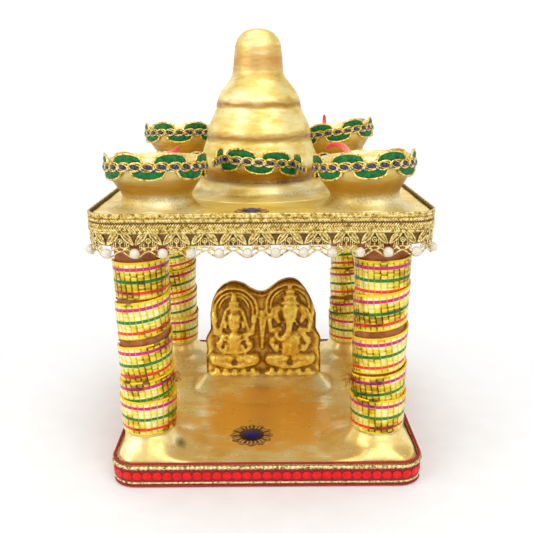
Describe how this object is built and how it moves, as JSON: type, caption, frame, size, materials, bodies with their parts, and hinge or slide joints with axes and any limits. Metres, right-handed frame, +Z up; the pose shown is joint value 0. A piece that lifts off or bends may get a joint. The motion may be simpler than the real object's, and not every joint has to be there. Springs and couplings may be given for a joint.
{
  "type": "clay diwali temple",
  "caption": "Small gilded clay house shrine: wrapped pillars on a trimmed base carry a lace-edged roof with oil lamps and a thrown spire over a seated idol pair.",
  "frame": {"origin": "on the ground, under the middle of the whole object", "axes": "+Z up, -Y is the open front with the floor flower, +X to the right seen from the front"},
  "size_m": [0.1838, 0.1886, 0.246],
  "materials": {
    "gilded_clay": "fired clay brushed with bright gold paint, semi-gloss",
    "gilded_idol": "press-moulded clay relief, gold paint over brown clay",
    "painted_flower": "clay flower with a deep blue middle and brown gilded petals",
    "red_cord": "thin twisted red cord",
    "gold_rope": "twisted pale gold metallic rope",
    "red_sequin_tape": "dark red tape sewn with bright red sequins",
    "gold_braid": "woven gold zari braid and leaf lace",
    "pearl": "moulded imitation pearl, glossy",
    "foil_ribbon": "pleated gold foil ribbon with pink, green and orange stripes",
    "frayed_ribbon": "frayed brown ribbon end",
    "green_lace": "gold bead chain with green satin-stitched scallops",
    "wax": "poured white wax",
    "wick": "cotton wick dyed red at its tip, soaked in wax"
  },
  "bodies": {
    "root": {"base_slab": "gilded_clay", "base_cord_top": "red_cord", "base_rope_upper": "gold_rope", "base_sequin_band": "red_sequin_tape", "base_rope_lower": "gold_rope", "base_cord_bottom": "red_cord", "idol_mound": "gilded_clay", "idol_plaque": "gilded_idol", "floor_flower": "painted_flower", "pillar_front_left": "gilded_clay", "pillar_front_right": "gilded_clay", "pillar_back_left": "gilded_clay", "pillar_back_right": "gilded_clay", "ribbon_wrap_front_left": "foil_ribbon", "ribbon_wrap_front_right": "foil_ribbon", "ribbon_wrap_back_left": "foil_ribbon", "ribbon_wrap_back_right": "foil_ribbon", "ribbon_knot_left": "frayed_ribbon", "ribbon_knot_right": "frayed_ribbon", "roof_slab": "gilded_clay", "roof_flower": "painted_flower", "roof_braid_upper": "gold_braid", "roof_braid_lower": "gold_braid", "leaf_lace": "gold_braid", "pearl_fringe": "pearl", "spire": "gilded_clay", "spire_collar": "gilded_clay", "lamp_front_left": "gilded_clay", "lamp_front_right": "gilded_clay", "lamp_back_left": "gilded_clay", "lamp_back_right": "gilded_clay", "wax_front_left": "wax", "wax_front_right": "wax", "wax_back_left": "wax", "wax_back_right": "wax", "wick_front_left": "wick", "wick_front_right": "wick", "wick_back_left": "wick", "wick_back_right": "wick", "lamp_lace_front_left": "green_lace", "lamp_lace_front_right": "green_lace", "lamp_lace_back_left": "green_lace", "lamp_lace_back_right": "green_lace", "festoon_front": "green_lace", "festoon_back": "green_lace"}
  },
  "joints": []
}
